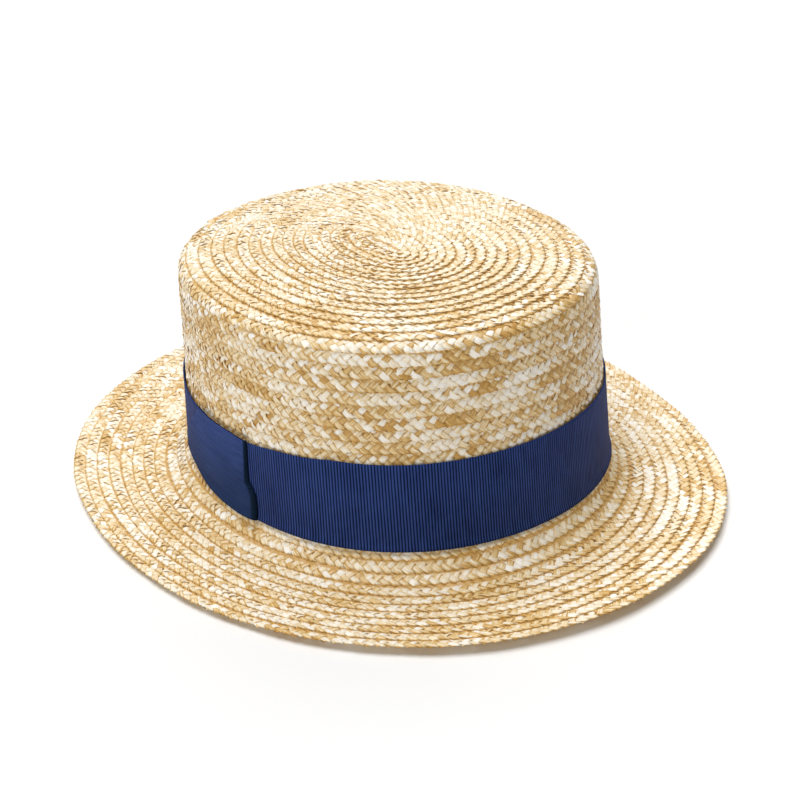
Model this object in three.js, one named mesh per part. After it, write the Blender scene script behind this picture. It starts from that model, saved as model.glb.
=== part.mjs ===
// Straw boater hat: an oval crown with a flat tip, a wide flat brim, a ribbon band and the
// short ribbon wrap over the band's join. Millimetres, +Z up, front of the hat towards -Y,
// the wearer's left towards +X. The hat stands on the underside of its brim, and the origin
// is on that surface, below the middle of the hat's overall length and width.

import * as THREE from 'three';

// Driving sizes of the profile, from the middle of the tip out to the edge of the brim.
// A radius here is half the hat's width; the oval adds a little more along its length.
const WALL = 2.2; // thickness of the sewn straw
const BRIM_TOP = WALL; // height of the upper side of the brim where it lies flat
const TIP_RADIUS = 79.6;
const TIP_RIM_HEIGHT = 100.87; // height of the rim of the tip
const TIP_DOME = 2.5; // rise of the tip's middle over its rim
const TIP_DOME_POWER = 5; // high power: flat in the middle, falling near the rim
const SHOULDER_RADIUS = 6.92; // rounding from the tip to the side
const SIDE_SLOPE = THREE.MathUtils.degToRad(2.58); // the side leans out towards its foot
const FILLET_RADIUS = 16; // hollow curve from the side to the flat of the brim
const BRIM_RADIUS = 137.04;
const FLAT_RADIUS = 112; // the brim lies flat on the surface out to here
const EDGE_RISE = 0.5; // rise of the whole brim edge over the flat
const EDGE_RISE_POWER = 1.3;
const END_LIFT = 2.4; // further rise of the edge at the front and the back

// Plan of the hat: how much longer than wide it is at four stations of the profile.
const LENGTH_CORE = 10;
const LENGTH_SHOULDER = 5.7;
const LENGTH_FOOT = 7.3;
const LENGTH_EDGE = 15.9;
const SQUARENESS = 0.021; // the oval is slightly fuller at its four corners
const FOOT_SHIFT = [0.43, -2.29]; // middle of the crown's foot, from the middle of the brim
const TIP_SHIFT = [-2.17, -0.71]; // middle of the tip: the worn crown leans a little
const LOBE_SIN = 1.467; // the brim's edge is cut a little uneven, in three soft lobes
const LOBE_COS = -1.608;

// Rows of plait. Each row lies over the next one outwards, so the surface steps down there.
const TIP_ROWS = 18;
const SIDE_ROW_PITCH = 5.25;
const BRIM_ROW_PITCH = 4.68;
const ROW_STEP = 0.6;
const STEP_RUN = 0.35; // length of profile over which a step falls

// Ribbon.
const BAND_TOP = 50.8;
const BAND_BOTTOM = 12.3;
const BAND_GAP = 0.3; // between the straw and the ribbon, and between band and wrap
const BAND_THICKNESS = 1.2;
const WRAP_THICKNESS = 1;
const WRAP_RIGHT = [194, 192.6, 196.6]; // degrees from +X, at the top, middle and bottom
const WRAP_LEFT = [170.5, 159.5, 152];
const WRAP_INSET = 0.4; // the wrap ends this far inside the band's two edges

// The crown and the brim are one plait on the real hat; here they meet behind the band.
const SPLIT_HEIGHT = 18.5;
const SPLIT_GAP = 0.3;

const SEGMENTS = 48; // facets round the hat
const BAND_STEPS = 5; // facets down the ribbon
const WRAP_SEGMENTS = 6; // facets across the wrap

const straw = new THREE.MeshStandardMaterial({ color: 0xe3cda0, roughness: 0.62, metalness: 0 });
const ribbon = new THREE.MeshStandardMaterial({ color: 0x1d2a52, roughness: 0.7, metalness: 0 });

// Profile of the upper surface as lengths of path: dome, shoulder, side, fillet and brim.
const rimTilt = Math.atan(TIP_DOME * TIP_DOME_POWER / TIP_RADIUS);
const shoulderCentre = TIP_RADIUS - SHOULDER_RADIUS * Math.sin(rimTilt);
const shoulderHeight = TIP_RIM_HEIGHT - SHOULDER_RADIUS * Math.cos(rimTilt);
const sideTilt = Math.PI / 2 - SIDE_SLOPE;
const sideTopRadius = shoulderCentre + SHOULDER_RADIUS * Math.sin(sideTilt);
const sideTopHeight = shoulderHeight + SHOULDER_RADIUS * Math.cos(sideTilt);
const filletHeight = BRIM_TOP + FILLET_RADIUS;
const filletTop = filletHeight - FILLET_RADIUS * Math.cos(sideTilt);
const filletTopRadius = sideTopRadius + (sideTopHeight - filletTop) * Math.tan(SIDE_SLOPE);
const filletCentre = filletTopRadius + FILLET_RADIUS * Math.sin(sideTilt);

const S_SHOULDER = TIP_RADIUS;
const S_SIDE = S_SHOULDER + SHOULDER_RADIUS * (sideTilt - rimTilt);
const S_FILLET = S_SIDE + (sideTopHeight - filletTop) / Math.sin(sideTilt);
const S_BRIM = S_FILLET + FILLET_RADIUS * sideTilt;
const S_EDGE = S_BRIM + BRIM_RADIUS - filletCentre;
const S_FOOT = S_FILLET + (S_BRIM - S_FILLET) / 4;

// How far out along the rising part of the brim a radius lies, from 0 to 1.
function riseAt(radius) {
  const share = (radius - FLAT_RADIUS) / (BRIM_RADIUS - FLAT_RADIUS);
  return Math.max(0, share) ** EDGE_RISE_POWER;
}

// Radius, height and tilt below level of the upper surface at path length s.
function surfaceAt(s) {
  if (s <= S_SHOULDER) {
    const share = s / TIP_RADIUS;
    const fall = TIP_DOME * TIP_DOME_POWER * share ** (TIP_DOME_POWER - 1) / TIP_RADIUS;
    const z = TIP_RIM_HEIGHT + TIP_DOME * (1 - share ** TIP_DOME_POWER);
    return { radius: s, z, tilt: Math.atan(fall) };
  }
  if (s <= S_SIDE) {
    const tilt = rimTilt + (s - S_SHOULDER) / SHOULDER_RADIUS;
    const radius = shoulderCentre + SHOULDER_RADIUS * Math.sin(tilt);
    return { radius, z: shoulderHeight + SHOULDER_RADIUS * Math.cos(tilt), tilt };
  }
  if (s <= S_FILLET) {
    const radius = sideTopRadius + (s - S_SIDE) * Math.cos(sideTilt);
    return { radius, z: sideTopHeight - (s - S_SIDE) * Math.sin(sideTilt), tilt: sideTilt };
  }
  if (s <= S_BRIM) {
    const tilt = sideTilt - (s - S_FILLET) / FILLET_RADIUS;
    const radius = filletCentre - FILLET_RADIUS * Math.sin(tilt);
    return { radius, z: filletHeight - FILLET_RADIUS * Math.cos(tilt), tilt };
  }
  const radius = filletCentre + s - S_BRIM;
  return { radius, z: BRIM_TOP + EDGE_RISE * riseAt(radius), tilt: 0 };
}

// The same point moved by offset along the outward normal of the profile.
function profilePoint(s, offset) {
  const { radius, z, tilt } = surfaceAt(s);
  return [radius + offset * Math.sin(tilt), z + offset * Math.cos(tilt)];
}

// A value given at four stations of the path, straight between them.
function between(s, core, shoulder, foot, edge) {
  const mix = (a, b, from, to) => a + (b - a) * (s - from) / (to - from);
  if (s <= S_SIDE) {
    return mix(core, shoulder, 0, S_SIDE);
  }
  if (s <= S_FOOT) {
    return mix(shoulder, foot, S_SIDE, S_FOOT);
  }
  return mix(foot, edge, S_FOOT, S_EDGE);
}

// Point of the hat at path length s, offset from the surface and angle from +X.
function hatPoint(s, offset, angle) {
  const [radius, z] = profilePoint(s, offset);
  const brimShare = between(s, 0, 0, 0, 1);
  const lobe = brimShare * (LOBE_SIN * Math.sin(3 * angle) + LOBE_COS * Math.cos(3 * angle));
  const fullness = 1 + SQUARENESS * (1 - Math.cos(4 * angle)) / 2;
  const length = between(s, LENGTH_CORE, LENGTH_SHOULDER, LENGTH_FOOT, LENGTH_EDGE);
  const across = (radius + lobe) * fullness;
  const along = (radius + lobe + length) * fullness;
  const shiftX = between(s, TIP_SHIFT[0], TIP_SHIFT[0], FOOT_SHIFT[0], 0);
  const shiftY = between(s, TIP_SHIFT[1], TIP_SHIFT[1], FOOT_SHIFT[1], 0);
  const lift = END_LIFT * riseAt(radius) * (1 - Math.cos(2 * angle)) / 2;
  return [shiftX + across * Math.cos(angle), shiftY + along * Math.sin(angle), z + lift];
}

// Path length at which the side or the fillet has height z.
function pathAtHeight(z) {
  let low = S_SIDE;
  let high = S_BRIM;
  for (let i = 0; i < 40; i += 1) {
    const middle = (low + high) / 2;
    if (surfaceAt(middle).z > z) {
      low = middle;
    } else {
      high = middle;
    }
  }
  return low;
}

// Stations [s, offset] of the shingled rows from one path length to another: every row
// starts one step low under the row before it and comes up to the surface at its own edge.
function shingledRows(from, to, rows, firstLow) {
  const stations = [];
  const pitch = (to - from) / rows;
  for (let row = 0; row < rows; row += 1) {
    const start = from + row * pitch;
    const low = row > 0 || firstLow;
    stations.push([low ? start + STEP_RUN : start, low ? -ROW_STEP : 0]);
    stations.push([start + pitch, 0]);
  }
  return stations;
}

// Turns a closed section of [s, offset] stations round the hat, oval instead of circular.
function turnedShell(stations) {
  const outline = stations.map(([s, offset]) => new THREE.Vector2(...profilePoint(s, offset)));
  const geometry = new THREE.LatheGeometry(outline, SEGMENTS);
  const position = geometry.getAttribute('position');
  for (let i = 0; i < position.count; i += 1) {
    const [s, offset] = stations[i % stations.length];
    const turn = Math.floor(i / stations.length) % SEGMENTS;
    position.setXYZ(i, ...hatPoint(s, offset, 2 * Math.PI * turn / SEGMENTS));
  }
  geometry.computeVertexNormals();
  return geometry;
}

// Evenly spaced path lengths from one to another, both ends included.
function evenly(from, to, steps) {
  return Array.from({ length: steps + 1 }, (_, i) => from + (to - from) * i / steps);
}

function namedMesh(name, geometry, material) {
  const mesh = new THREE.Mesh(geometry, material);
  mesh.name = name;
  return mesh;
}

const bandTopPath = pathAtHeight(BAND_TOP);
const bandBottomPath = pathAtHeight(BAND_BOTTOM);
const splitPath = pathAtHeight(SPLIT_HEIGHT);
const crownEnd = splitPath - SPLIT_GAP / 2;
const brimStart = splitPath + SPLIT_GAP / 2;

// Crown: the inner wall runs from the middle of the tip out and down to the split, and the
// shingled outer side comes back up. Behind the band the side is plain.
function crown() {
  const inner = [0, TIP_RADIUS / 3, TIP_RADIUS * 2 / 3, TIP_RADIUS - 3]
    .concat(evenly(S_SHOULDER, S_SIDE, 3))
    .concat(evenly(S_SIDE, crownEnd, 4).slice(1))
    .map((s) => [s, -WALL]);
  const tip = shingledRows(0, S_SIDE, TIP_ROWS, false);
  const sideRows = Math.round((bandTopPath - S_SIDE) / SIDE_ROW_PITCH);
  const side = shingledRows(S_SIDE, bandTopPath, sideRows, true);
  const outer = tip.concat(side, [[(bandTopPath + crownEnd) / 2, 0], [crownEnd, 0]]);
  return turnedShell(inner.concat(outer.reverse()));
}

// Brim: a closed ring, from the plain collar behind the band over the fillet to the edge on
// its upper side, and back along the smooth underside, which is flat where it stands.
function brim() {
  const rows = Math.round((S_EDGE - bandBottomPath) / BRIM_ROW_PITCH);
  const collar = [[brimStart, 0], [bandBottomPath, 0]];
  const upper = collar.concat(shingledRows(bandBottomPath, S_EDGE, rows, true));
  const flatEnd = S_BRIM + FLAT_RADIUS - filletCentre;
  const under = [brimStart]
    .concat(evenly(S_FILLET + 2, S_BRIM, 5))
    .concat(evenly(flatEnd, S_EDGE, 2))
    .map((s) => [s, -WALL]);
  const section = under.concat(upper.reverse());
  return turnedShell(section.concat([section[0]]));
}

// Band: a thin closed ring that follows the side and the start of the fillet.
function ribbonBand() {
  const path = evenly(bandTopPath, bandBottomPath, BAND_STEPS);
  const inner = path.map((s) => [s, BAND_GAP]);
  const outer = path.map((s) => [s, BAND_GAP + BAND_THICKNESS]).reverse();
  return turnedShell([...inner, ...outer, inner[0]]);
}

// A value at the top, middle and bottom of the wrap, on the curve through all three.
function threePoint([top, middle, bottom], share) {
  const bow = 4 * share * (1 - share) * (middle - (top + bottom) / 2);
  return top + (bottom - top) * share + bow;
}

// Wrap: a curved plate over the band, its two long edges running as on the real ribbon.
function ribbonWrap() {
  const geometry = new THREE.BoxGeometry(1, 1, 1, WRAP_SEGMENTS, BAND_STEPS, 1);
  const position = geometry.getAttribute('position');
  const inside = 2 * BAND_GAP + BAND_THICKNESS;
  for (let i = 0; i < position.count; i += 1) {
    const down = 0.5 - position.getY(i);
    const right = 0.5 + position.getX(i);
    const leftEdge = threePoint(WRAP_LEFT, down);
    const degrees = leftEdge + (threePoint(WRAP_RIGHT, down) - leftEdge) * right;
    const length = bandBottomPath - bandTopPath - 2 * WRAP_INSET;
    const s = bandTopPath + WRAP_INSET + length * down;
    const offset = inside + WRAP_THICKNESS * (0.5 + position.getZ(i));
    position.setXYZ(i, ...hatPoint(s, offset, THREE.MathUtils.degToRad(degrees)));
  }
  geometry.computeVertexNormals();
  return geometry;
}

const hat = new THREE.Group();
hat.name = 'straw_boater';
hat.add(namedMesh('crown', crown(), straw));
hat.add(namedMesh('brim', brim(), straw));
hat.add(namedMesh('ribbon_band', ribbonBand(), ribbon));
hat.add(namedMesh('ribbon_wrap', ribbonWrap(), ribbon));

// The origin goes below the middle of the hat's overall length and width.
const middle = new THREE.Box3().setFromObject(hat).getCenter(new THREE.Vector3());
hat.position.set(-middle.x, -middle.y, 0);

export default hat;
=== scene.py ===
# %% [markdown]
# # A straw boater
#
# A boater is one long flat plait of straw, sewn round and round on itself: first the tip of
# the crown, then down its side, then out over the brim. A grosgrain ribbon goes round the
# foot of the crown. This lesson builds the plait straw by straw, then the ribbon, and lights
# them as in a plain studio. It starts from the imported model, which gives the hat's box.

import bpy
import numpy as np
from mathutils import Matrix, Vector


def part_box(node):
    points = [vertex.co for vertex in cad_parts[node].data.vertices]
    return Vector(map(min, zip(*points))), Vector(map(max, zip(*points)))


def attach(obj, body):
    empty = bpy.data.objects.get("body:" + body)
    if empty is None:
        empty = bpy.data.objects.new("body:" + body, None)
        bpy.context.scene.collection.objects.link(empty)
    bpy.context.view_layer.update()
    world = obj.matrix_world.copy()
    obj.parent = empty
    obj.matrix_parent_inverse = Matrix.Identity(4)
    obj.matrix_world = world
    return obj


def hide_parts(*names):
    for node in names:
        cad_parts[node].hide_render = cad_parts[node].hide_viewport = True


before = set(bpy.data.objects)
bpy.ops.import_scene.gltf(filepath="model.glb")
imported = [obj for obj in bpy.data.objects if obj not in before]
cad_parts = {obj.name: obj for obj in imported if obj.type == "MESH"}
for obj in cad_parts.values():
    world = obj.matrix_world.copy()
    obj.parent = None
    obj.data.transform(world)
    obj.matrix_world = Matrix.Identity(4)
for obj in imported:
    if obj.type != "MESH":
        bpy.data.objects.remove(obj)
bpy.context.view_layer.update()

# %% [markdown]
# ## The hat's surface
#
# Everything on a boater lies on one surface: a slightly domed tip, a quarter round, a steep
# side, a hollow curve and a level brim. A lathe could turn it, but the hat is oval and its
# worn crown leans a little, so the surface is a formula of two parameters instead: the path
# length from the middle of the tip, and the angle round the hat. A third value, the offset,
# moves a point off the surface, so straws and ribbon can lie at their own depths.
# All sizes are millimetres, and become metres when a mesh is made.

# %% Sizes of the crown and the brim
MM = 0.001  # a millimetre in metres
BRIM_TOP = 2.2  # height of the brim's upper side where it lies flat: one thickness of straw
TIP_RADIUS = 79.6
TIP_RIM_HEIGHT = 100.87
TIP_DOME = 2.5  # rise of the tip's middle over its rim
TIP_DOME_POWER = 5  # a high power is flat in the middle and falls near the rim
SHOULDER_RADIUS = 6.92
SIDE_SLOPE = np.radians(2.58)  # the side leans out towards its foot
FILLET_RADIUS = 16  # hollow curve from the side to the brim
BRIM_RADIUS = 137.04
FLAT_RADIUS = 112  # the brim lies flat out to here
EDGE_RISE = 0.5  # rise of the brim's whole edge over the flat
EDGE_RISE_POWER = 1.3
END_LIFT = 2.4  # further rise of the edge at the front and the back

# Plan of the hat at four stations of the path: middle of the tip, shoulder, foot and edge.
EXTRA_LENGTH = [10, 5.7, 7.3, 15.9]
SHIFT_X = [-2.17, -2.17, 0.43, 0]
SHIFT_Y = [-0.71, -0.71, -2.29, 0]
LOBE_SHARE = [0, 0, 0, 1]
LOBE_SIN = 1.467  # the edge is cut a little uneven, in three soft lobes
LOBE_COS = -1.608
SQUARENESS = 0.021  # the oval is slightly fuller at its four corners

rim_tilt = np.arctan(TIP_DOME * TIP_DOME_POWER / TIP_RADIUS)
side_tilt = np.pi / 2 - SIDE_SLOPE
shoulder_centre = TIP_RADIUS - SHOULDER_RADIUS * np.sin(rim_tilt)
shoulder_height = TIP_RIM_HEIGHT - SHOULDER_RADIUS * np.cos(rim_tilt)
side_top_radius = shoulder_centre + SHOULDER_RADIUS * np.sin(side_tilt)
side_top_height = shoulder_height + SHOULDER_RADIUS * np.cos(side_tilt)
fillet_height = BRIM_TOP + FILLET_RADIUS
fillet_top = fillet_height - FILLET_RADIUS * np.cos(side_tilt)
fillet_top_radius = side_top_radius + (side_top_height - fillet_top) * np.tan(SIDE_SLOPE)
fillet_centre = fillet_top_radius + FILLET_RADIUS * np.sin(side_tilt)

# Path lengths at which the side, the fillet and the flat brim begin, and of the edge.
S_SIDE = TIP_RADIUS + SHOULDER_RADIUS * (side_tilt - rim_tilt)
S_FILLET = S_SIDE + (side_top_height - fillet_top) / np.sin(side_tilt)
S_BRIM = S_FILLET + FILLET_RADIUS * side_tilt
S_EDGE = S_BRIM + BRIM_RADIUS - fillet_centre
S_FOOT = S_FILLET + (S_BRIM - S_FILLET) / 4
STATIONS = [0, S_SIDE, S_FOOT, S_EDGE]
print("path from the middle of the tip to the brim's edge:", round(S_EDGE, 1), "mm")


# %% The surface as a formula
def rise_at(radius):
    """Share of the brim's rise at a radius: 0 on the flat, then a power curve up to the edge."""
    out = (radius - FLAT_RADIUS) / (BRIM_RADIUS - FLAT_RADIUS)
    return np.clip(out, 0, None) ** EDGE_RISE_POWER


def surface_at(path):
    """Radius, height and tilt below level at a path length from the middle of the tip.

    The dome falls as the fifth power of its radius, the shoulder is part of a circle, the
    side is straight, the fillet is part of a hollow circle, and the brim runs level.
    """
    path = np.asarray(path, dtype=float)
    share = np.clip(path / TIP_RADIUS, 0, 1)
    dome = TIP_RIM_HEIGHT + TIP_DOME * (1 - share**TIP_DOME_POWER)
    fall = TIP_DOME * TIP_DOME_POWER * share ** (TIP_DOME_POWER - 1) / TIP_RADIUS
    bend = rim_tilt + (path - TIP_RADIUS) / SHOULDER_RADIUS
    down = path - S_SIDE
    rest = side_tilt - (path - S_FILLET) / FILLET_RADIUS
    out = fillet_centre + path - S_BRIM
    zones = [path <= TIP_RADIUS, path <= S_SIDE, path <= S_FILLET, path <= S_BRIM]
    radii = [
        path,
        shoulder_centre + SHOULDER_RADIUS * np.sin(bend),
        side_top_radius + down * np.cos(side_tilt),
        fillet_centre - FILLET_RADIUS * np.sin(rest),
    ]
    heights = [
        dome,
        shoulder_height + SHOULDER_RADIUS * np.cos(bend),
        side_top_height - down * np.sin(side_tilt),
        fillet_height - FILLET_RADIUS * np.cos(rest),
    ]
    tilts = [np.arctan(fall), bend, np.full_like(path, side_tilt), rest]
    radius = np.select(zones, radii, out)
    height = np.select(zones, heights, BRIM_TOP + EDGE_RISE * rise_at(out))
    return radius, height, np.select(zones, tilts, 0.0)


print("heights at the four stations:", np.round(surface_at(STATIONS)[1], 1), "mm")


# %% Round the hat
def hat_point(path, offset, angle):
    """Point of the hat in metres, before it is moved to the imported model's origin.

    The profile point goes out along its normal by the offset, and then round the hat: X is
    its radius times the cosine, and Y is the radius plus the extra length times the sine.
    """
    radius, height, tilt = surface_at(path)
    radius = radius + offset * np.sin(tilt)
    height = height + offset * np.cos(tilt)
    lobe = LOBE_SIN * np.sin(3 * angle) + LOBE_COS * np.cos(3 * angle)
    radius = radius + lobe * np.interp(path, STATIONS, LOBE_SHARE)
    length = radius + np.interp(path, STATIONS, EXTRA_LENGTH)
    fullness = 1 + SQUARENESS * (1 - np.cos(4 * angle)) / 2
    lift = END_LIFT * rise_at(radius) * (1 - np.cos(2 * angle)) / 2
    x = np.interp(path, STATIONS, SHIFT_X) + radius * fullness * np.cos(angle)
    y = np.interp(path, STATIONS, SHIFT_Y) + length * fullness * np.sin(angle)
    return np.stack([x, y, height + lift], axis=-1) * MM


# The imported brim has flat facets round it, so its outline is measured at the same angles.
BRIM_FACETS = 48
facet_angles = np.arange(BRIM_FACETS) * 2 * np.pi / BRIM_FACETS
outline = hat_point(np.full(BRIM_FACETS, S_EDGE), 0.0, facet_angles)
brim_low, brim_high = (np.array(corner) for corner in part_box("brim"))
to_origin = (brim_low + brim_high) / 2 - (outline.min(axis=0) + outline.max(axis=0)) / 2
to_origin[2] = 0
print("the hat's axis is moved by", np.round(to_origin / MM, 2), "mm")


def placed(path, offset, angle):
    """Point of the hat in metres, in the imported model's frame."""
    return hat_point(path, offset, angle) + to_origin


# %% [markdown]
# ## Where the plait runs
#
# The plait's outer edge follows a spiral. Separate rings would be simpler, but a sewn hat
# has one plait, and each ring would show a join. The rows are closest at the core, widest
# near the rim of the tip, and about five millimetres apart on the side and the brim. Each
# row lies over the next one outwards, like shingles. On the brim the sewer steps out quickly
# at the back, so that the rows run parallel to the edge and the last one ends under its
# neighbour. Turns are clockwise as seen from above, start at the back, and reach a round
# number at the brim's edge.

# %% Sizes of the spiral
TURNS = 45
JOIN_ANGLE = np.radians(90)  # the back of the hat
STEP_SHARE = 0.18  # share of a turn in which a brim row steps out to the next
PITCH_PATH = [0, 30, 40, 50, 62, 76, 90, 100, 133, 140, 165, 171, S_EDGE]
ROW_PITCH = [4.0, 4.0, 4.5, 4.9, 5.5, 5.6, 5.3, 5.4, 5.15, 5.1, 5.1, 4.66, 4.66]
CORE_TURN = 0.35  # the first row begins this far round, because it can't be tighter
CORE_INSIDE = -3.2  # its inner edge passes this far under the other side of the core
PATH_POINTS = 4000
TABLE_STEPS = 720  # points of the table of lengths in each turn

fine_path = np.linspace(0, S_EDGE, PATH_POINTS)
row_density = 1 / np.interp(fine_path, PITCH_PATH, ROW_PITCH)
fine_rows = np.cumsum(row_density) * (fine_path[1] - fine_path[0])
fine_turns = fine_rows - fine_rows[-1] + TURNS
FIRST_TURN = fine_turns[0] + CORE_TURN
LAST_TURN = TURNS + STEP_SHARE
print("rows of plait:", round(LAST_TURN - FIRST_TURN, 1))


# %% The spiral
def eased(share):
    """Smooth step from 0 to 1: three times the square less twice the cube."""
    share = np.clip(share, 0, 1)
    return share * share * (3 - 2 * share)


def edge_path(turns):
    """Path length of the plait's outer edge after a number of turns.

    On the crown it grows evenly. On the brim it grows only in the first share of each turn.
    """
    even = np.interp(turns, fine_turns, fine_path)
    whole = np.floor(turns)
    stepped = np.interp(whole + eased((turns - whole) / STEP_SHARE), fine_turns, fine_path)
    share = eased((even - S_FOOT) / (S_BRIM - S_FOOT))
    return even + (stepped - even) * share


def turn_angle(turns):
    """Angle round the hat, from +X, after a number of clockwise turns from the join."""
    return JOIN_ANGLE - 2 * np.pi * turns


# The plait's length is measured along the middle of the part of each row that shows.
ROW_MIDDLE = 2.5
NEAREST_PATH = 0.5  # the measured line comes no nearer to the middle of the tip
table_turns = np.arange(FIRST_TURN, LAST_TURN, 1 / TABLE_STEPS)
middle_path = np.clip(edge_path(table_turns) - ROW_MIDDLE, NEAREST_PATH, None)
middle_line = placed(middle_path, 0.0, turn_angle(table_turns))
steps = np.linalg.norm(np.diff(middle_line, axis=0), axis=1) / MM
table_length = np.concatenate([[0], np.cumsum(steps)])
print("length of plait:", round(table_length[-1] * MM, 1), "m")

# %% [markdown]
# ## The plait
#
# The plait has four straws. Each crosses from edge to edge at a slant, over one straw and
# under the next, and folds flat round the edge to come back. A picture of a weave could
# stand in for it, but a boater is looked at closely and its edge is scalloped by the folds,
# so every straw is a real strip here. A straw is a thin lens-shaped section of four points,
# carried along its zigzag. The section's width stays square to the straw in the middle and
# turns parallel to the edge at a fold, and its outer face turns over there.

# %% Sizes of the plait
STRAWS = 4
FACET = 3.9  # from one straw to the next, along the plait
COLUMN = 2.0  # from one crossing to the next, across the plait
EDGE_COLUMN = 1.2  # from the last crossing to the fold, which is pulled tight
PLAIT_WIDTH = 2 * COLUMN + 2 * EDGE_COLUMN
CYCLE_LENGTH = STRAWS * FACET
SLANT = np.arctan(COLUMN / (FACET / 2))
STRAW_WIDTH = 0.91 * FACET * np.sin(SLANT)  # a little less than would close every gap
STRAW_THICKNESS = 0.42
FOLD_WIDTH = 0.76  # a straw narrows to this share where it folds, which scallops the edge
CROSSING = 0.3  # a straw lies this far above or below the plait's middle at a crossing
SHINGLE = 0.12  # slope of a row: its outer edge stands proud and its inner edge lies deep
EDGE_OFFSET = -0.1  # the middle of a row's outer edge lies this far off the hat's surface
TUCK_DEPTH = 0.8  # the plait's last end dives this far under its neighbour
print("plait width:", PLAIT_WIDTH, "mm, straw width:", round(STRAW_WIDTH, 2), "mm")

# %% One cycle of a straw: out to the edge, round it, and back
# One leg has a fold, three crossings and points between them; crossings come every half facet.
NEAR_FOLD = 0.46  # place of the point next to a fold, where a crossing's place is 1, 2 or 3
crossings = [0, EDGE_COLUMN, EDGE_COLUMN + COLUMN, EDGE_COLUMN + 2 * COLUMN, PLAIT_WIDTH]
leg_place = np.array([0, NEAR_FOLD, 1, 1.5, 2, 2.5, 3, 4 - NEAR_FOLD, 4])
leg_across = np.interp(leg_place, np.arange(5), crossings)
leg_along = leg_place * FACET / 2
LEG_LIFT = np.array([0, 0.75, 1, 0, -1, 0, 1, 0.75])  # 1 is over a straw and -1 under it
LEG = len(LEG_LIFT)

across = np.concatenate([leg_across[:-1], leg_across[:0:-1]])
forward = np.concatenate([leg_along[:-1], leg_along[-1] + leg_along[:-1]])
turned = np.repeat([-1.0, 1.0], LEG)  # a straw shows its other face after a fold
lift = turned * np.tile(LEG_LIFT, 2) * CROSSING
is_fold = np.arange(2 * LEG) % LEG == 0

# Half width of the strip, as steps along and across the plait: square to the straw, and
# along the edge at a fold, where it is longer because the straw is cut at a slant.
half = STRAW_WIDTH / 2
leg_slant = np.tile(np.arctan2(np.gradient(leg_across), np.gradient(leg_along))[:-1], 2)
width_along = np.where(is_fold, FOLD_WIDTH * FACET / 2, half * np.sin(leg_slant))
width_across = np.where(is_fold, 0.0, turned * half * np.cos(leg_slant))

# Half thickness of the strip, as steps across and up: up or down on the legs, out at a fold.
out_across = np.where(is_fold, turned, 0.0) * STRAW_THICKNESS / 2
out_up = np.where(is_fold, 0.0, turned) * STRAW_THICKNESS / 2

CYCLE = len(across)
cycles_in_all = int(table_length[-1] / CYCLE_LENGTH) - 1
print("rings in a cycle:", CYCLE, "cycles of each straw:", cycles_in_all)

# %% Every straw its own tone
# The plaiter picks up like straws one after another, so a tone holds for a few facets. The
# side of the crown is a little deeper, as painted shade, and more mixed than the tip; the tip
# and the brim are a little paler, as painted light.
SEED = 7
KIND_TONE = np.array([0.3, 0.52, 0.84])  # golden, common and bleached straw
KIND_SHARE = [0.24, 0.46, 0.3]
NEW_KIND = 0.72  # share of the legs at which the kind is drawn anew
TONE_SPREAD = 0.11
TONE_MIDDLE = 0.56
ZONE_PATH = [70, 88, 165, 180]  # end of the tip, both ends of the side, start of the brim
ZONE_CONTRAST = [0.62, 1.2, 1.2, 0.85]
# Painted light and shade: the tip and the brim a little lighter, the side a little darker.
ZONE_PAINTED_LIGHT = [0.03, -0.05, -0.05, 0.02]

chance = np.random.default_rng(SEED)
legs_in_all = STRAWS * (cycles_in_all + 2)
kind = chance.choice(len(KIND_TONE), legs_in_all, p=KIND_SHARE)
changes = chance.random(legs_in_all) < NEW_KIND
kind = kind[np.maximum.accumulate(np.where(changes, np.arange(legs_in_all), 0))]
leg_tone = KIND_TONE[kind] + chance.normal(0, TONE_SPREAD, legs_in_all)
leg_length = np.arange(legs_in_all) // STRAWS * CYCLE_LENGTH
leg_path = edge_path(np.interp(leg_length, table_length, table_turns))
contrast = np.interp(leg_path, ZONE_PATH, ZONE_CONTRAST)
painted_light = np.interp(leg_path, ZONE_PATH, ZONE_PAINTED_LIGHT)
leg_tone = np.clip(TONE_MIDDLE + (leg_tone - TONE_MIDDLE) * contrast + painted_light, 0, 1)
print("tones: mean", round(leg_tone.mean(), 2), "spread", round(leg_tone.std(), 2))

# %% Every straw its own small faults
SLIP = 0.22  # how far a leg strays along the plait, in mm
RISE = 0.045  # how far a leg strays up or down, in mm
ROLL = 0.17  # how far one rim of a leg stands up and the other down, in mm
WIDTH_MEAN = 0.98  # width of a leg, as a share of the straw's width
WIDTH_SPREAD = 0.07
WIDTH_LEAST = 0.8
WIDTH_MOST = 1.08
leg_slip = chance.normal(0, SLIP, legs_in_all)
leg_lift = chance.normal(0, RISE, legs_in_all)
leg_roll = chance.normal(0, ROLL, legs_in_all)
leg_width = chance.normal(WIDTH_MEAN, WIDTH_SPREAD, legs_in_all)
leg_width = np.clip(leg_width, WIDTH_LEAST, WIDTH_MOST)

WANDER_SIZE = [0.22, 0.18, 0.12]  # slow waves of the hand sewing, in mm
WANDER_SCALE = [41, 23, 9.1]  # mm of plait in which each wave's angle grows by one radian
wander_phase = chance.random(len(WANDER_SIZE)) * 2 * np.pi
print("legs of straw:", legs_in_all)


def row_wander(length):
    """How far a row strays from its line, in mm: the sum of three sines of its length."""
    waves = zip(WANDER_SIZE, WANDER_SCALE, wander_phase)
    return sum(size * np.sin(length / scale + phase) for size, scale, phase in waves)


# %% Points of the straws
POINTS = 4  # points of a ring: one rim, one face, the other rim and the other face
SIGNS_WIDE = np.array([-1, 0, 1, 0])
SIGNS_THICK = np.array([0, 1, 0, -1])


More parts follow.
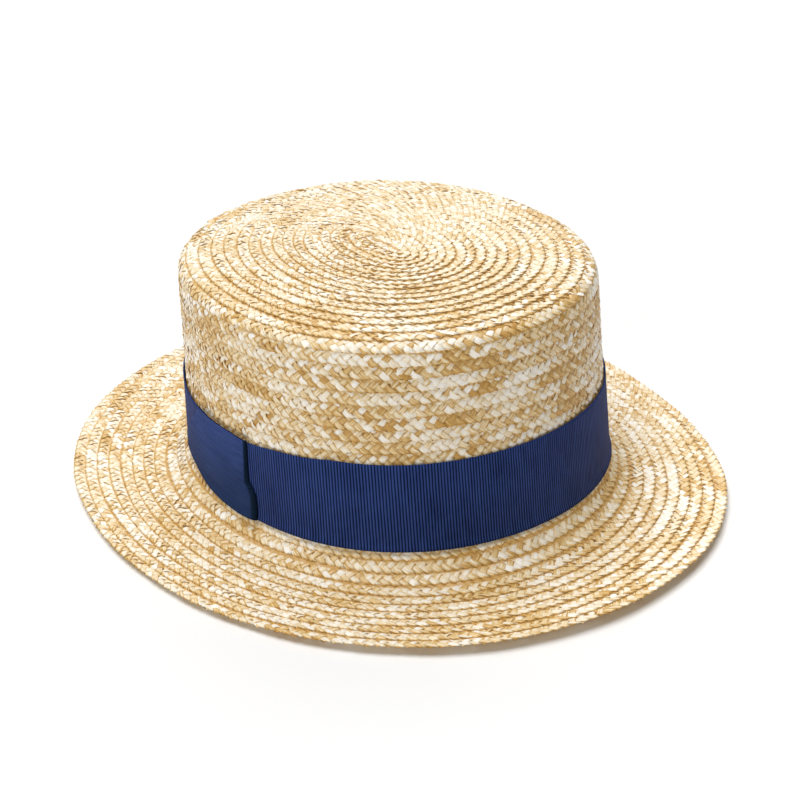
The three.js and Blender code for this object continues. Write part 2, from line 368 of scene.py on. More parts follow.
def straw_points(first_cycle, cycles):
    """Places and marks of all four straws over some cycles, as arrays straw, ring, point.

    The four points of a ring are the centre less the half width, plus the half thickness,
    plus the half width and less the half thickness. Along, across and up become a turn, a
    path length and an offset, and those a point of the hat. The last array says how far
    across the part of its row that shows a point lies: 0 at the seam and 1 at the fold.
    """
    ring = np.arange(cycles * CYCLE + 1)
    place = ring % CYCLE
    cycle = first_cycle + ring // CYCLE
    leg = np.arange(STRAWS)[:, None] + STRAWS * cycle[None, :]
    wide = leg_width[leg][..., None]
    centre = forward[place] + CYCLE_LENGTH * cycle
    along = centre[None, :] + FACET * np.arange(STRAWS)[:, None] + leg_slip[leg]
    point_along = along[..., None] + wide * width_along[place][None, :, None] * SIGNS_WIDE
    point_across = (
        across[place][None, :, None]
        + wide * width_across[place][None, :, None] * SIGNS_WIDE
        + out_across[place][None, :, None] * SIGNS_THICK
    )
    point_up = (lift[place] + leg_lift[leg])[..., None] + out_up[place][None, :, None] * SIGNS_THICK
    point_up = point_up + leg_roll[leg][..., None] * SIGNS_WIDE
    turns = np.interp(point_along, table_length, table_turns)
    inwards = PLAIT_WIDTH - point_across
    tuck = TUCK_DEPTH * eased((turns - TURNS) / STEP_SHARE)
    offset = EDGE_OFFSET + point_up - SHINGLE * inwards - tuck
    path = edge_path(turns) - inwards + row_wander(point_along)
    points = placed(np.clip(path, CORE_INSIDE, None), offset, turn_angle(turns))
    marks = [SIGNS_WIDE, centre[None, :, None], leg_tone[leg][..., None]]
    marks = np.stack([np.broadcast_to(mark, turns.shape) for mark in marks], axis=-1)
    pitch = np.interp(edge_path(turns), PITCH_PATH, ROW_PITCH)
    return points, marks, 1 - inwards / pitch


sample_points = straw_points(0, 1)[0]
print("points in the first cycle:", sample_points.shape[:-1])


# %% From points to a mesh
def strip_faces(strips, rings):
    """Quads of closed four-sided tubes: the next ring and the next point, with end caps."""
    base = np.arange(strips)[:, None, None] * rings * POINTS
    ring = np.arange(rings - 1)[None, :, None] * POINTS
    point = np.arange(POINTS)[None, None, :]
    following = (point + 1) % POINTS
    start = base + ring
    beyond = start + POINTS
    corners = [start + point, beyond + point, beyond + following, start + following]
    quads = np.stack(corners, axis=-1)
    first = base[:, 0, 0][:, None] + np.arange(POINTS)
    last = first + (rings - 1) * POINTS
    return np.concatenate([quads.reshape(-1, 4), first, last[:, ::-1]])


def add_mesh(name, points, quads):
    """A smooth object at the origin from an array of points and an array of quads."""
    mesh = bpy.data.meshes.new(name)
    mesh.vertices.add(len(points))
    mesh.vertices.foreach_set("co", np.ascontiguousarray(points, dtype=np.float32).ravel())
    mesh.loops.add(quads.size)
    mesh.loops.foreach_set("vertex_index", np.ascontiguousarray(quads, dtype=np.int32).ravel())
    mesh.polygons.add(len(quads))
    mesh.polygons.foreach_set("loop_start", np.arange(len(quads), dtype=np.int32) * 4)
    mesh.update(calc_edges=True)
    mesh.validate()
    mesh.shade_smooth()
    piece = bpy.data.objects.new(name, mesh)
    bpy.context.scene.collection.objects.link(piece)
    return piece


def crease_rims(mesh):
    """Marks the two long rims of every straw as sharp, so its faces shade as flat ribbon.

    A rim edge joins points of one kind, the first or third of a ring, in two rings.
    """
    ends = np.empty(2 * len(mesh.edges), dtype=np.int32)
    mesh.edges.foreach_get("vertices", ends)
    kinds = ends.reshape(-1, 2) % POINTS
    on_rim = (kinds[:, 0] == kinds[:, 1]) & (kinds[:, 0] % 2 == 0)
    sharp = mesh.attributes.new("sharp_edge", "BOOLEAN", "EDGE")
    sharp.data.foreach_set("value", on_rim)


def plait_piece(name, from_turn, to_turn):
    """The plait between two turns, with its marks as the point attributes "straw" and "row"."""
    from_length, to_length = np.interp([from_turn, to_turn], table_turns, table_length)
    first = int(round(from_length / CYCLE_LENGTH))
    last = min(int(round(to_length / CYCLE_LENGTH)), cycles_in_all)
    points, marks, shares = straw_points(first, last - first)
    quads = strip_faces(STRAWS, points.shape[1])
    piece = add_mesh(name, points.reshape(-1, 3), quads)
    attribute = piece.data.attributes.new("straw", "FLOAT_VECTOR", "POINT")
    attribute.data.foreach_set("vector", np.ascontiguousarray(marks, dtype=np.float32).ravel())
    attribute = piece.data.attributes.new("row", "FLOAT", "POINT")
    attribute.data.foreach_set("value", np.ascontiguousarray(shares, dtype=np.float32).ravel())
    crease_rims(piece.data)
    print(name, "has", 2 * len(quads), "triangles")
    return piece


# %% The five stretches of plait
# One mesh of the whole plait would be too heavy, so it is cut at folds, where it doesn't show.
INTO_SHOULDER = 2  # the tip's stretch runs this far into the shoulder, in mm
SPLIT_HEIGHT = 18.5  # the crown's last stretch ends at this height, behind the ribbon
BRIM_SPLIT = 0.55  # share of the rest of the path that the inner stretch of the brim takes


def turn_at(path):
    """Turn at which the plait's outer edge reaches a path length."""
    return float(np.interp(path, fine_path, fine_turns))


split_path = S_SIDE + (side_top_height - SPLIT_HEIGHT) / np.sin(side_tilt)
cuts = [
    FIRST_TURN,
    turn_at(TIP_RADIUS + INTO_SHOULDER),
    turn_at((S_SIDE + split_path) / 2),
    turn_at(split_path),
    turn_at(split_path + BRIM_SPLIT * (S_EDGE - split_path)),
    LAST_TURN,
]
stretches = {
    "plait_tip": "crown",
    "plait_side_upper": "crown",
    "plait_side_lower": "crown",
    "plait_brim_inner": "brim",
    "plait_brim_outer": "brim",
}
straw_objects = []
for (name, node), from_turn, to_turn in zip(stretches.items(), cuts, cuts[1:]):
    piece = plait_piece(name, from_turn, to_turn)
    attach(piece, "root")
    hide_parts(node)
    straw_objects.append(piece)

# %% [markdown]
# ## Shader sums
#
# A finish is worked out from many small sums. Wired by hand each takes several lines, so a
# small class wraps a socket and lets Python's own signs add the Math nodes. Every other node
# comes from one method, which takes its type, its settings and the values of its inputs.


# %% Screen colours
def paint(red, green, blue):
    """Linear colour of a screen colour given from 0 to 255."""
    screen = np.array([red, green, blue]) / 255
    linear = np.where(screen <= 0.04045, screen / 12.92, ((screen + 0.055) / 1.055) ** 2.4)
    return (*linear.tolist(), 1.0)


print("middle grey on a screen is", round(paint(128, 128, 128)[0], 3), "in linear light")


# %% A wire that can be used in sums
class Wire:
    """One output socket, which can be used in sums with numbers and other wires."""

    def __init__(self, finish, socket):
        self.finish = finish
        self.socket = socket

    def sum(self, operation, *values, clamp=False):
        """A Math node of this operation on the values."""
        settings = {"operation": operation, "use_clamp": clamp}
        return self.finish.add("ShaderNodeMath", settings, dict(enumerate(values)))[0]

    def __add__(self, other):
        return self.sum("ADD", self, other)

    def __sub__(self, other):
        return self.sum("SUBTRACT", self, other)

    def __rsub__(self, other):
        return self.sum("SUBTRACT", other, self)

    def __mul__(self, other):
        return self.sum("MULTIPLY", self, other)

    def __truediv__(self, other):
        return self.sum("DIVIDE", self, other)

    def __pow__(self, other):
        return self.sum("POWER", self, other)

    __radd__ = __add__
    __rmul__ = __mul__

    def sine(self):
        """The sine of this value."""
        return self.sum("SINE", self)

    def size(self):
        """This value without its sign."""
        return self.sum("ABSOLUTE", self)

    def clamped(self):
        """This value kept from 0 to 1."""
        return self.sum("ADD", self, 0.0, clamp=True)


# %% A finish and its nodes
class Finish:
    """A material whose nodes are added one by one."""

    def __init__(self, name):
        self.material = bpy.data.materials.new(name)
        self.material.use_nodes = True
        self.tree = self.material.node_tree
        self.shader = self.tree.nodes["Principled BSDF"]

    def add(self, kind, settings=None, inputs=None):
        """A node of this kind, with its settings made first; returns its outputs as wires."""
        node = self.tree.nodes.new(kind)
        for setting, value in (settings or {}).items():
            if setting == "stops":
                self.set_stops(node.color_ramp, value)
            else:
                setattr(node, setting, value)
        for key, value in (inputs or {}).items():
            self.feed(node.inputs[key], value)
        return [Wire(self, socket) for socket in node.outputs]

    def set_stops(self, ramp, stops):
        """Gives a colour ramp its stops, each a place from 0 to 1 and a colour."""
        for _ in range(len(stops) - 2):
            ramp.elements.new(0.5)
        for element, (place, colour) in zip(ramp.elements, stops):
            element.position = place
            element.color = colour

    def feed(self, socket, value):
        """Links a wire to a socket, or sets the socket's own value."""
        if isinstance(value, Wire):
            self.tree.links.new(value.socket, socket)
        else:
            socket.default_value = value

    def surface(self, **values):
        """Feeds the shader's sockets, named in words with underscores."""
        for name, value in values.items():
            self.feed(self.shader.inputs[name.replace("_", " ")], value)

    def place(self):
        """The place of a point on its object, in metres."""
        return self.add("ShaderNodeTexCoord")[3]

    def mixed(self, factor, first, second):
        """Colour between two colours."""
        settings = {"data_type": "RGBA"}
        return self.add("ShaderNodeMix", settings, {0: factor, 6: first, 7: second})[2]

    def ramp(self, factor, stops):
        """Colour of a value on a ramp of stops."""
        return self.add("ShaderNodeValToRGB", {"stops": stops}, {"Fac": factor})[0]

    def noise(self, vector, scale, detail=2.0):
        """Soft random value round a half."""
        inputs = {"Vector": vector, "Scale": scale, "Detail": detail}
        return self.add("ShaderNodeTexNoise", None, inputs)[0]

    def bump(self, height, distance, strength):
        """Normal of a surface raised by this height times a distance in metres."""
        inputs = {"Height": height, "Distance": distance, "Strength": strength}
        return self.add("ShaderNodeBump", None, inputs)[0]

    def parts(self, vector):
        """The three numbers of a vector."""
        return self.add("ShaderNodeSeparateXYZ", None, {"Vector": vector})

    def vector(self, x, y, z):
        """A vector from three numbers."""
        return self.add("ShaderNodeCombineXYZ", None, {"X": x, "Y": y, "Z": z})[0]


# %% [markdown]
# ## Straw
#
# Bleached straw runs from nearly white to golden tan from one stem to the next. Its skin is
# waxy, with fine lengthwise fibres, and its colour is darker towards the edges of the
# flattened stem as painted shade.
# A noise in space would run across the stems. Every point of a strip knows how far across
# and along its straw it lies and which tone the straw has, so the fibres follow the stems
# round the whole hat.

# %% Patterns and colours of straw
# Each pattern: how fast it changes across and along a stem, how far apart two tones of stem
# lie in it, the noise's detail, and its share in the tone.
STREAK = (2.0, 0.14, 40, 3.0, 1.4)
FIBRE = (5, 0.25, 70, 2.0, 0.5)
BLOTCH = (0.6, 0.4, 60, 2.0, 0.45)
WEATHER_SCALE = 18.0
WEATHER_SHARE = 0.15
RIM_POWER = 3
RIM_PAINTED_SHADE = 0.42
INNER_END = 0.4  # the inner part of a row, which lies low and is darker as painted shade, ends at this share of the row
INNER_PAINTED_SHADE = 0.12
FOLD_START = 0.88  # the fold, pressed thin and darker as painted shade, begins at this share
FOLD_STEEP = 8.0
FOLD_PAINTED_SHADE = 0.2
SEAM_END = 0.16  # the painted shade along the seam ends at this share
SEAM_STEEP = 9.0
SEAM_SHADE_SHARE = 0.85
STRAW_STOPS = [
    (0.0, paint(192, 144, 66)),
    (0.25, paint(223, 191, 130)),
    (0.5, paint(239, 222, 189)),
    (0.75, paint(247, 240, 224)),
    (1.0, paint(253, 250, 244)),
]
SEAM_SHADE_COLOUR = paint(178, 132, 58)
PAINTED_GLOW_COLOUR = paint(200, 164, 100)
PAINTED_GLOW_EVERYWHERE = 0.18
PAINTED_GLOW_IN_ROWS = 0.4  # more of the painted glow in a seam or a fold

# Heights in metres between which the crown's side stands upright, and how fast that sets in.
SIDE_FOOT = 0.012
SIDE_TOP = 0.098
FOOT_STEEP = 60.0
TOP_STEEP = 100.0
UPRIGHT_SEAM = 0.7  # the upright side lacks this share of the painted seam shade and of the painted glow
UPRIGHT_FOLD = 0.75
print("straw runs through", len(STRAW_STOPS), "colours")


# %% The straw finish
def straw_finish():
    """Tone of the straw on a ramp, streaked along the stem.

    It is darker at a straw's rims, and where its row lies low or folds, as painted shade.
    A faint golden emission is painted light, standing in for light that seeps through the
    straw: a little everywhere, more in the seams and folds, where it lifts their shade, and
    less on the upright side.
    """
    finish = Finish("straw")
    marks = finish.add("ShaderNodeAttribute", {"attribute_name": "straw"})[1]
    row = finish.add("ShaderNodeAttribute", {"attribute_name": "row"})[2]
    across_stem, along_stem, tone = finish.parts(marks)
    place = finish.place()
    shade = tone
    skin = []
    for quick_across, quick_along, apart, detail, share in (STREAK, FIBRE, BLOTCH):
        spot = finish.vector(across_stem * quick_across, along_stem * quick_along, tone * apart)
        skin.append(finish.noise(spot, 1.0, detail))
        shade = shade + (skin[-1] - 0.5) * share
    streak, fibre, _ = skin
    weather = finish.noise(place, WEATHER_SCALE)
    shade = shade + (weather - 0.5) * WEATHER_SHARE
    # Painted shade: darker towards a straw's rims, and in the low inner part and the fold of a row.
    rim = across_stem.size() ** RIM_POWER
    inner = ((INNER_END - row) / INNER_END).clamped()
    folded = ((row - FOLD_START) * FOLD_STEEP).clamped()
    shade = (shade - rim * RIM_PAINTED_SHADE - inner * INNER_PAINTED_SHADE - folded * FOLD_PAINTED_SHADE).clamped()
    colour = finish.ramp(shade, STRAW_STOPS)

    # Upright is 1 on the crown's side, and runs down to 0 at the tip and on the brim.
    height = finish.parts(place)[2]
    over_foot = ((height - SIDE_FOOT) * FOOT_STEEP).clamped()
    upright = over_foot * ((SIDE_TOP - height) * TOP_STEEP).clamped()
    # Painted shade: a golden brown line along each seam, where the next row's edge shades it,
    # fainter on the upright side.
    seam = ((SEAM_END - row) * SEAM_STEEP).clamped() * (1 - upright * UPRIGHT_SEAM)
    colour = finish.mixed(seam * SEAM_SHADE_SHARE, colour, SEAM_SHADE_COLOUR)
    # Painted glow: an emission that stands in for light through the straw and lifts the shade in
    # seams and folds.
    glow = (seam + folded * (1 - upright * UPRIGHT_FOLD)) * PAINTED_GLOW_IN_ROWS
    glow = finish.mixed(glow + PAINTED_GLOW_EVERYWHERE, paint(0, 0, 0), PAINTED_GLOW_COLOUR)
    finish.surface(Base_Color=colour, Roughness=0.36 + fibre * 0.2)
    finish.surface(Coat_Weight=0.08, Coat_Roughness=0.3)
    finish.surface(Emission_Color=glow, Emission_Strength=0.45)
    finish.surface(Normal=finish.bump(fibre + streak, 0.0002, 0.7))
    return finish.material


straw_material = straw_finish()
for piece in straw_objects:
    piece.data.materials.append(straw_material)
print("straw finish on", len(straw_objects), "pieces")

# %% [markdown]
# ## The ribbon
#
# The band is a grosgrain ribbon: thick crosswise weft cords under a fine warp give it its
# ribs, which stand upright once the ribbon lies round the crown. A strip of cloth round a
# drum needs no simulation, because it is held tight, so it is a grid on the hat's surface
# with a small offset, thickened a little. Its own map counts the ribs along the ribbon, and
# runs from 0 to 1 across it.

# %% Sizes of the ribbon
BAND_TOP = 50.8  # heights of the ribbon's edges, in mm
BAND_BOTTOM = 12.3
RIB = 1.25  # from one rib to the next on the band
WRAP_RIB = 0.85  # and on the wrap
RIBBON_THICKNESS = 0.55
BAND_OFFSET = 1.05  # how far off the hat's surface the middle of the band's cloth lies
WRAP_OFFSET = 1.95  # and that of the wrap's cloth

# The worn edges of the band sink and rise near its join. Heights in mm at angles in degrees.
BAND_TOP_ANGLE = [118, 159, 173, 194, 204, 213, 219]
BAND_TOP_HEIGHT = [BAND_TOP, 45.0, 45.9, 46.5, 48.6, 49.6, BAND_TOP]
BAND_BOTTOM_ANGLE = [136, 154, 168, 176]
BAND_BOTTOM_HEIGHT = [BAND_BOTTOM, 14.7, 14.9, BAND_BOTTOM]

HEIGHT_POINTS = 2000
height_path = np.linspace(S_SIDE, S_BRIM, HEIGHT_POINTS)
height_table = surface_at(height_path)[1]


def path_at(height):
    """Path length at which the side and its foot have a height, read off the surface."""
    return np.interp(-np.asarray(height, dtype=float), -height_table, height_path)


band_top_path, band_bottom_path = path_at([BAND_TOP, BAND_BOTTOM])
ribbon_width = float(band_bottom_path - band_top_path) * MM
print("ribbon width:", round(ribbon_width / MM, 1), "mm")


# %% Cloth on a grid
def grid_quads(rows, columns, closed):
    """Quads between neighbouring points of a grid, facing out from the hat.

    A closed grid joins its last column to its first.
    """
    row = np.arange(rows - 1)[:, None]
    column = np.arange(columns if closed else columns - 1)[None, :]
    following = (column + 1) % columns
    corners = [row * columns + column, (row + 1) * columns + column]
    corners += [(row + 1) * columns + following, row * columns + following]
    return np.stack(corners, axis=-1).reshape(-1, 4)[:, ::-1]


def cloth_piece(name, points, quads, corner_map):
    """A sheet with a map per corner, thickened to both sides of its middle."""
    piece = add_mesh(name, points.reshape(-1, 3), quads)
    layer = piece.data.uv_layers.new(name="cloth")
    layer.data.foreach_set("uv", np.ascontiguousarray(corner_map, dtype=np.float32).ravel())
    solidify = piece.modifiers.new("thickness", "SOLIDIFY")
    solidify.thickness = RIBBON_THICKNESS * MM
    solidify.offset = 0
    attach(piece, "root")
    return piece


def line_lengths(points):
    """Length of each line of points: the sum of its steps."""
    return np.linalg.norm(np.diff(points, axis=1), axis=2).sum(axis=1)


print("a grid of 3 by 4 points has", len(grid_quads(3, 4, False)), "quads")

# %% The band
BAND_COLUMNS = 720
BAND_ROWS = 25
SLACK_LONG = 0.12  # the cloth lies a little slack, in five long waves and eleven short ones
SLACK_SHORT = 0.08

round_share = np.arange(BAND_COLUMNS)[None, :] / BAND_COLUMNS
down_share = np.linspace(0, 1, BAND_ROWS)[:, None]
band_angle = np.broadcast_to(2 * np.pi * round_share, (BAND_ROWS, BAND_COLUMNS))
band_degrees = np.degrees(band_angle)
band_top = path_at(np.interp(band_degrees, BAND_TOP_ANGLE, BAND_TOP_HEIGHT))
band_bottom = path_at(np.interp(band_degrees, BAND_BOTTOM_ANGLE, BAND_BOTTOM_HEIGHT))
band_path = band_top + (band_bottom - band_top) * down_share
slack = SLACK_LONG * np.sin(5 * band_angle + 1)
slack = slack + SLACK_SHORT * np.sin(11 * band_angle + 4 * down_share)
band_points = placed(band_path, BAND_OFFSET + slack, band_angle)
band_edges = band_points[[0, -1]]
band_edges = np.concatenate([band_edges, band_edges[:, :1]], axis=1)
band_length = float(line_lengths(band_edges).mean())
band_ribs = round(band_length / MM / RIB)

# A quad that closes the ring starts at the last column, so its far corners count on from it.
band_quads = grid_quads(BAND_ROWS, BAND_COLUMNS, True)
corner_row, corner_column = np.divmod(band_quads, BAND_COLUMNS)
wrapped = (corner_column == 0) & (corner_column.max(axis=1, keepdims=True) > 1)
corner_round = (corner_column + BAND_COLUMNS * wrapped) / BAND_COLUMNS
band_map = np.stack([corner_round * band_ribs, corner_row / (BAND_ROWS - 1)], axis=-1)
ribbon_band = cloth_piece("ribbon_band_cloth", band_points, band_quads, band_map)
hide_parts("ribbon_band")
print("band length:", round(band_length, 3), "m with", band_ribs, "ribs")

# %% [markdown]
# ## The wrap over the band's join
#
# The two ends of the band are hidden by a short piece of the same ribbon, laid upright, so
# its ribs run level. Its right end is folded under: the fold stands off the band and turns
# down to it as a narrow dark side. Its left edge slants away out of sight. A plain rectangle
# would look printed on, so a few measured stations give each edge, because a hand-sewn wrap
# has no straight line.

# %% Edges of the wrap
# Heights in mm and angles in degrees round the hat.
LEFT_HEIGHT = [14, 25, 35, 41, 47]
LEFT_ANGLE = [154.6, 159.2, 163.8, 167.4, 171.3]
RIGHT_HEIGHT = [12, 24.2, 26.5, 29, 48]
RIGHT_ANGLE = [195.6, 195.4, 194.8, 193.6, 194.1]
WRAP_TOP_ANGLE = [160, 171.3, 193.5]
WRAP_TOP_HEIGHT = [46.2, 46.8, 48.1]
WRAP_BOTTOM_ANGLE = [154, 167, 175, 184, 191, 197]
WRAP_BOTTOM_HEIGHT = [14.5, 14.6, 12.2, 11.2, 11.3, 12.2]
ROUGH_TOP = 47.5  # rough height of the wrap, at which its side edges are read
ROUGH_FALL = 35
FOLD_AT = 0.9  # share of the columns where the fold begins
FOLD_TURN = 0.5  # degrees that the fold takes up at the top, and twice that at the foot
FOLD_FALL = 2.2  # it widens from one to the other in the middle part of its fall
FOLD_DELAY = 0.6
print("the wrap spans", round(RIGHT_ANGLE[0] - LEFT_ANGLE[0], 1), "degrees at its foot")

# %% Shape of the wrap
WRAP_ROWS = 61
WRAP_COLUMNS = 61
STAND_FROM = 0.75  # the wrap starts to stand off the band at this share of its width
STAND_OFF = 0.6  # how far it stands off at the top, in mm, and twice that at the foot
PILLOW = 0.4  # how far its middle bulges
LEFT_SINK = 0.45  # how far its left edge sinks towards the band
LEFT_REACH = 0.4  # share of its width over which it comes up again
FOLD_FOOT = 1.5  # the offset to which the fold comes down

right_share = np.linspace(0, 1, WRAP_COLUMNS)[None, :]
fall_share = np.linspace(0, 1, WRAP_ROWS)[:, None]
flat_share = np.clip(right_share / FOLD_AT, 0, 1)
fold_share = np.clip((right_share - FOLD_AT) / (1 - FOLD_AT), 0, 1)
rough_height = ROUGH_TOP - ROUGH_FALL * fall_share
left_angle = np.interp(rough_height, LEFT_HEIGHT, LEFT_ANGLE)
right_angle = np.interp(rough_height, RIGHT_HEIGHT, RIGHT_ANGLE)
foot_share = eased(fall_share * FOLD_FALL - FOLD_DELAY)
fold_turn = FOLD_TURN * (1 + foot_share) * np.sin(fold_share * np.pi / 2)
wrap_degrees = left_angle + (right_angle - left_angle) * flat_share + fold_turn
wrap_top = path_at(np.interp(wrap_degrees, WRAP_TOP_ANGLE, WRAP_TOP_HEIGHT))
wrap_bottom = path_at(np.interp(wrap_degrees, WRAP_BOTTOM_ANGLE, WRAP_BOTTOM_HEIGHT))
wrap_path = wrap_top + (wrap_bottom - wrap_top) * fall_share
stand_off = eased((flat_share - STAND_FROM) / (1 - STAND_FROM)) * STAND_OFF * (1 + fall_share)
pillow = PILLOW * np.sin(np.pi * flat_share) * np.sin(np.pi * fall_share)
lie = WRAP_OFFSET - LEFT_SINK * (1 - eased(flat_share / LEFT_REACH)) + stand_off + pillow
wrap_offset = lie + (FOLD_FOOT - lie) * (1 - np.cos(fold_share * np.pi / 2))
wrap_points = placed(wrap_path, wrap_offset, np.radians(wrap_degrees))
print("grid of the wrap:", wrap_points.shape[:-1])

# %% The wrap
wrap_quads = grid_quads(WRAP_ROWS, WRAP_COLUMNS, False)
corner_row, corner_column = np.divmod(wrap_quads, WRAP_COLUMNS)
wrap_ribs = ribbon_width / MM / WRAP_RIB
corner_fall = corner_row / (WRAP_ROWS - 1) * wrap_ribs
wrap_map = np.stack([corner_fall, corner_column / (WRAP_COLUMNS - 1)], axis=-1)
ribbon_wrap = cloth_piece("ribbon_wrap_cloth", wrap_points, wrap_quads, wrap_map)
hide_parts("ribbon_wrap")
edge_down = float(line_lengths(wrap_points.swapaxes(0, 1)).mean())
edge_round = float(line_lengths(wrap_points).mean())
print("wrap:", round(edge_down, 3), "by", round(edge_round, 3), "m with", round(wrap_ribs), "ribs")

# %% [markdown]
# ## Navy grosgrain
#
# The ribbon is dyed navy. Light catches the crowns of its ribs and leaves their valleys
# nearly black, and wear makes it uneven. Modelled ribs would need a very fine grid, so the
# ribs are a sine of the cloth's own map here, which drives both the colour and the bump.


# %% The grosgrain formula
UNEVEN_ALONG = 0.4  # how fast the slow noise changes from rib to rib
UNEVEN_ACROSS = 3  # and from one edge of the ribbon to the other
RIB_BEND = 0.8  # how far the noise bends a rib, in radians of its wave
WARP_ANGLE = 260.0  # radians of warp wave over the map's width
WARP_SHARE = 0.08
WEAR_SCALE = 40.0
UNEVEN_SHARE = 0.45
WEAR_SHARE = 0.3


def grosgrain(name, stops, relief):
    """Navy ribs from the cloth's map: round cords with dark valleys and a fine warp.

    A cord's height is the size of a sine of its count, bent a little by slow noise. The
    colour follows the height, as painted highlight on the crowns and painted shade in the
    valleys, mixed with unevenness and wear.
    """
    finish = Finish(name)
    cloth = finish.add("ShaderNodeUVMap", {"uv_map": "cloth"})[0]
    ribs, width, _ = finish.parts(cloth)
    uneven = finish.noise(finish.vector(ribs * UNEVEN_ALONG, width * UNEVEN_ACROSS, 0.0), 1.0)
    cord = (ribs * np.pi + (uneven - 0.5) * RIB_BEND).sine().size()
    warp = (width * WARP_ANGLE).sine() * 0.5 + 0.5
    wear = finish.noise(finish.place(), WEAR_SCALE, 3.0)
    tone = cord + (uneven - 0.5) * UNEVEN_SHARE + (wear - 0.5) * WEAR_SHARE
    # Painted highlight on the rib crowns and painted shade in the valleys.
    colour = finish.ramp(tone.clamped(), stops)
    finish.surface(Roughness=0.6 + (1 - cord) * 0.2, Specular_IOR_Level=0.05)
    finish.surface(Normal=finish.bump(cord + warp * WARP_SHARE, relief, 0.8))
    return finish, colour, ribs, width


# %% The band's finish
BAND_STOPS = [(0.0, paint(2, 8, 34)), (0.5, paint(19, 37, 84)), (1.0, paint(56, 80, 144))]
BAND_RELIEF = 0.00035  # height of a rib in metres
BAND_SHEEN = (0.75, 0.6, 0.8, 1.0)
band_finish, band_colour, _, _ = grosgrain("grosgrain_band", BAND_STOPS, BAND_RELIEF)
band_finish.surface(Base_Color=band_colour, Sheen_Weight=0.06, Sheen_Roughness=0.4)
band_finish.surface(Sheen_Tint=BAND_SHEEN)
ribbon_band.data.materials.append(band_finish.material)
print("ribbon finish on the band")

# %% The wrap's finish
# Painted shade: the wrap is darker and greyer towards its foot and its right side, where less
# light falls, and its fold is darker.
WRAP_STOPS = [(0.0, paint(8, 22, 66)), (0.5, paint(34, 54, 110)), (1.0, paint(74, 98, 164))]
WRAP_RELIEF = 0.0003
WRAP_SHADE_COLOUR = paint(20, 40, 66)
WRAP_SHADE_DOWN = 0.8  # how much more painted shade the foot has than the top, and the right side than the left
WRAP_SHADE_RIGHT = 0.3
WRAP_SHADE_START = 0.2
WRAP_SHADE_SHARE = 0.85
FOLD_COLOUR = paint(15, 34, 56)
FOLD_EARLY = 0.01  # the dark begins this share of the width before the fold
FOLD_SHARP = 40.0
wrap_finish, colour, wrap_fall, wrap_right = grosgrain("grosgrain_wrap", WRAP_STOPS, WRAP_RELIEF)
# Painted shade towards the foot and the right side of the wrap.
wrap_shade = (wrap_fall / wrap_ribs) * WRAP_SHADE_DOWN + wrap_right * WRAP_SHADE_RIGHT - WRAP_SHADE_START
colour = wrap_finish.mixed(wrap_shade.clamped() * WRAP_SHADE_SHARE, colour, WRAP_SHADE_COLOUR)
on_fold = ((wrap_right - FOLD_AT + FOLD_EARLY) * FOLD_SHARP).clamped()
colour = wrap_finish.mixed(on_fold, colour, FOLD_COLOUR)
wrap_finish.surface(Base_Color=colour)
ribbon_wrap.data.materials.append(wrap_finish.material)
print("ribbon finish on the wrap")

# %% [markdown]
# ## Floor, light and camera
#
# A boater is usually shown on a white ground under wide soft lights. Softboxes could be
# modelled, but a wide sun lamp gives the same even light with no falloff. A large lamp stands
# almost overhead, a low one behind glances off the tip and the brim, and a weak one on the
# left leaves the right side of the crown in shade. A faint white sky fills the rest.
# The camera stands as for a product photograph: about two thirds of a metre off, looking
# down by a little less than thirty degrees.

# %% Floor
FLOOR_HALF = 20.0  # metres, so that the floor reaches far behind the hat in a low view
FLOOR_PAINT = paint(240, 240, 240)
FLOOR_CLOUD = paint(244, 244, 244)


def floor_finish():
    """One even pale colour with a faint unevenness."""
    finish = Finish("floor_pale")
    cloud = finish.noise(finish.place(), 6.0)
    finish.surface(Base_Color=finish.mixed(cloud, FLOOR_PAINT, FLOOR_CLOUD), Roughness=0.9)
    return finish.material


corners = np.array([[-1, -1, 0], [1, -1, 0], [1, 1, 0], [-1, 1, 0]]) * FLOOR_HALF
floor = add_mesh("floor", corners, np.array([[0, 1, 2, 3]]))
floor.data.materials.append(floor_finish())
print("floor", 2 * FLOOR_HALF, "m wide")


# %% Lights
def facing_origin(position):
    """Matrix of an object at a position that looks along its own -Z at the origin."""
    back = position / np.linalg.norm(position)
    right = np.cross((0, 0, 1), back)
    right /= np.linalg.norm(right)
    matrix = np.eye(4)
    matrix[:3, :3] = np.stack([right, np.cross(back, right), back], axis=1)
    matrix[:3, 3] = position
    return Matrix(matrix.tolist())


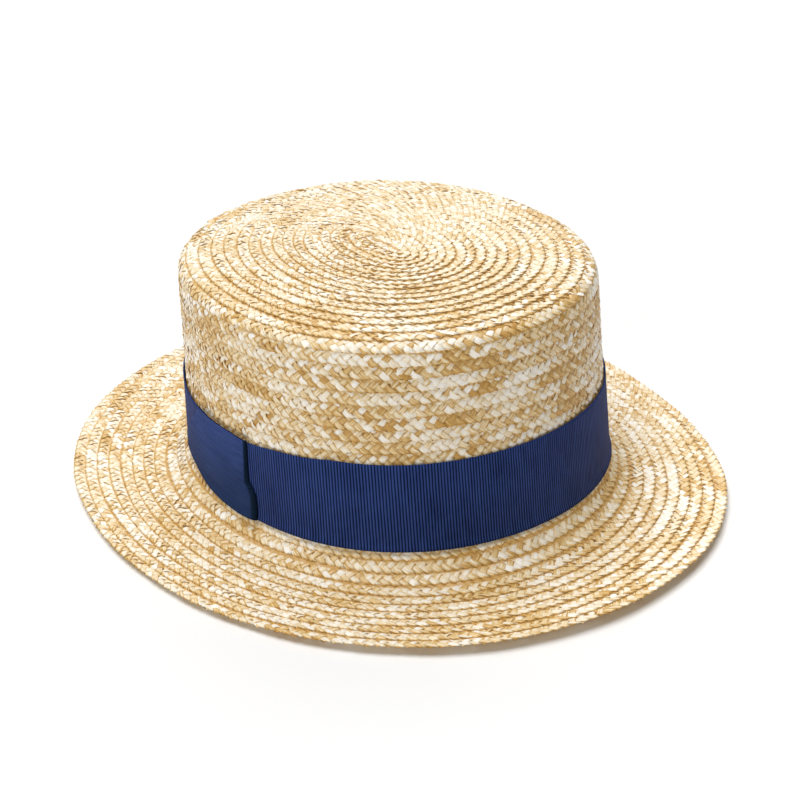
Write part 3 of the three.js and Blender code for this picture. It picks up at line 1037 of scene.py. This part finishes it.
def soft_light(name, azimuth, height, spread, strength, colour):
    """A wide, even light from a direction given in degrees round the hat and above the floor."""
    lamp = bpy.data.lights.new(name, "SUN")
    lamp.energy = strength
    lamp.angle = np.radians(spread)
    lamp.color = colour
    holder = bpy.data.objects.new(name, lamp)
    turn, rise = np.radians(azimuth), np.radians(height)
    away = np.array([np.cos(turn) * np.cos(rise), np.sin(turn) * np.cos(rise), np.sin(rise)])
    holder.matrix_world = facing_origin(away)
    bpy.context.scene.collection.objects.link(holder)
    print("light", name, "at", azimuth, "degrees round and", height, "up")


WHITE = (1.0, 1.0, 1.0)
WARM_WHITE = (1.0, 0.99, 0.96)
SKY_STRENGTH = 0.06
soft_light("top", 130, 81, 45, 2.8, WHITE)
soft_light("back", 50, 32, 60, 1.05, WHITE)
soft_light("left", 198, 20, 36, 0.76, WARM_WHITE)

world = bpy.data.worlds.new("studio")
world.use_nodes = True
sky = world.node_tree.nodes["Background"]
sky.inputs["Color"].default_value = (*WHITE, 1.0)
sky.inputs["Strength"].default_value = SKY_STRENGTH
bpy.context.scene.world = world
bpy.context.scene.view_settings.view_transform = "Standard"

# %% Camera
CAMERA_AT = (-324.41, -495.12, 347.13)  # mm from the hat's axis
LOOK = np.array([0.48645, 0.73319, -0.47519])
RIGHT = np.array([0.82807, -0.56037, -0.01694])
SENSOR_WIDTH = 36
LENS = 67.5
look = LOOK / np.linalg.norm(LOOK)
right = RIGHT - look * (RIGHT @ look)
right /= np.linalg.norm(right)
pose = np.eye(4)
pose[:3, :3] = np.stack([right, np.cross(right, look), -look], axis=1)
pose[:3, 3] = np.array(CAMERA_AT) * MM + to_origin
camera = bpy.data.cameras.new("camera")
camera.sensor_width = SENSOR_WIDTH
camera.lens = LENS
camera_holder = bpy.data.objects.new("camera", camera)
camera_holder.matrix_world = Matrix(pose.tolist())
bpy.context.scene.collection.objects.link(camera_holder)
bpy.context.scene.camera = camera_holder
print("camera at", np.round(pose[:3, 3], 3), "m")

# %% [markdown]
# ## Finish
#
# The dressed hat has to stay inside the imported model's box, apart from the little that straw
# and cloth may stand proud. The last line brings the scene up to date.

# %% Finish
bpy.context.view_layer.update()
